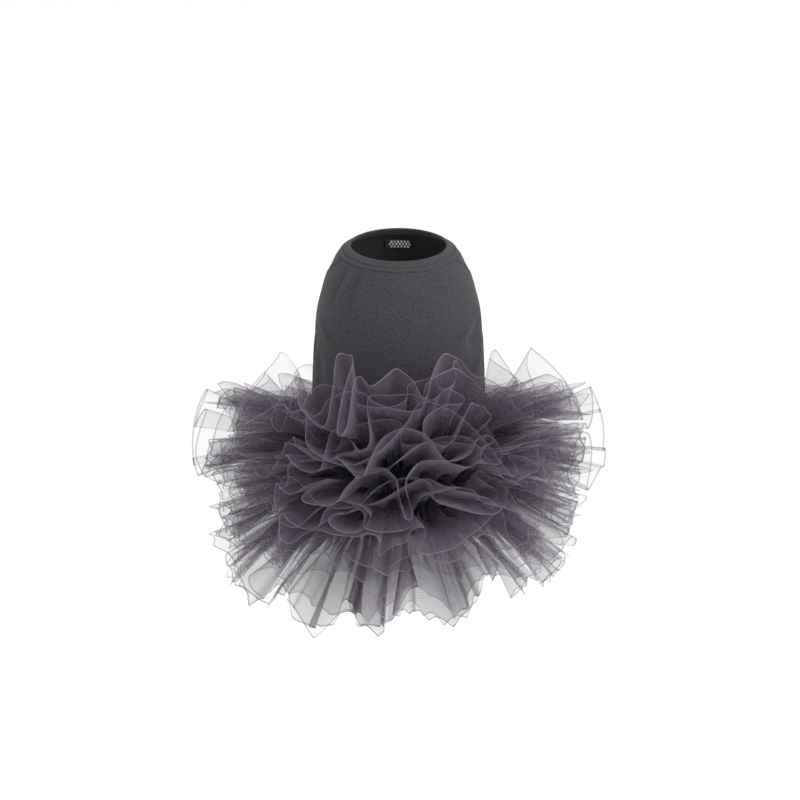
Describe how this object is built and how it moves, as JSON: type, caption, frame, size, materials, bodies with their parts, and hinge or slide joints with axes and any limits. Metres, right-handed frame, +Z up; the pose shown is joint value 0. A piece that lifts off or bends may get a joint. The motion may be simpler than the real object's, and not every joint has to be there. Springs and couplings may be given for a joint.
{
  "type": "pet tutu dress",
  "caption": "Sleeveless jersey dress for a small pet, filled out and hollow, with a neck binding and a full skirt of gathered tulle tiers.",
  "frame": {"origin": "middle of the neck opening, at the binding's top edge", "axes": "+Z up out of the neck along the body, -Y towards the back panel's side, +Y towards the chest panel's side, +X across"},
  "size_m": [0.3584, 0.3324, 0.3234],
  "materials": {
    "jersey": "matt charcoal cotton jersey with fine knit ribs",
    "binding": "matt charcoal jersey binding, folded over the edge and stitched",
    "tulle": "see-through charcoal net with a faint violet cast",
    "label": "blank black woven patch with an oval of small plain silver studs"
  },
  "bodies": {
    "root": {"back_panel": "jersey", "chest_panel": "jersey", "neck_binding": "binding", "neck_label": "label", "tulle_tier_1": "tulle", "tulle_tier_2": "tulle", "tulle_tier_3": "tulle", "tulle_tier_4": "tulle", "tulle_tier_5": "tulle"}
  },
  "joints": []
}
